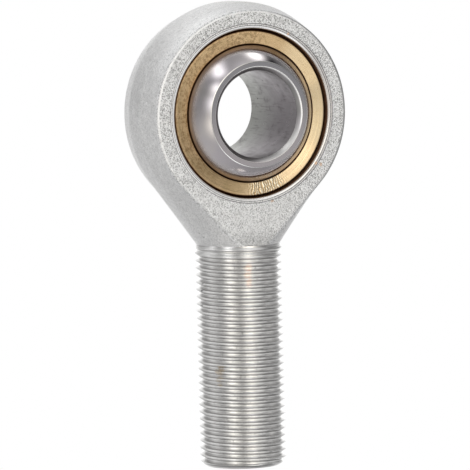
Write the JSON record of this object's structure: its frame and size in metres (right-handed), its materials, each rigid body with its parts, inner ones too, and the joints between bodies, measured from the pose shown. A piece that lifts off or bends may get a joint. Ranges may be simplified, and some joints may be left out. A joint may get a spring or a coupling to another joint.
{
  "type": "male rod end",
  "caption": "Male rod end: a round forged eye on a fine-threaded shank, with a bored steel ball that swivels in a brass race.",
  "frame": {"origin": "centre of the ball, which is also the centre of its bore", "axes": "+Z along the ball's bore, +X along the shank towards its threaded end; the part lies on its side as it would on a bench"},
  "size_m": [0.0965, 0.046, 0.023],
  "materials": {
    "housing": "bright zinc plate over forged steel, thread machined",
    "race": "turned brass",
    "ball": "polished hardened steel"
  },
  "bodies": {
    "rod_end": {"housing": "housing", "race": "race"},
    "ball": {"ball": "ball"}
  },
  "joints": [
    {"name": "ball_tilt", "type": "hinge", "parent": "rod_end", "child": "ball", "pos_m": [0, 0, 0], "axis": [0, 1, 0], "range_deg": [-15, 15]}
  ]
}
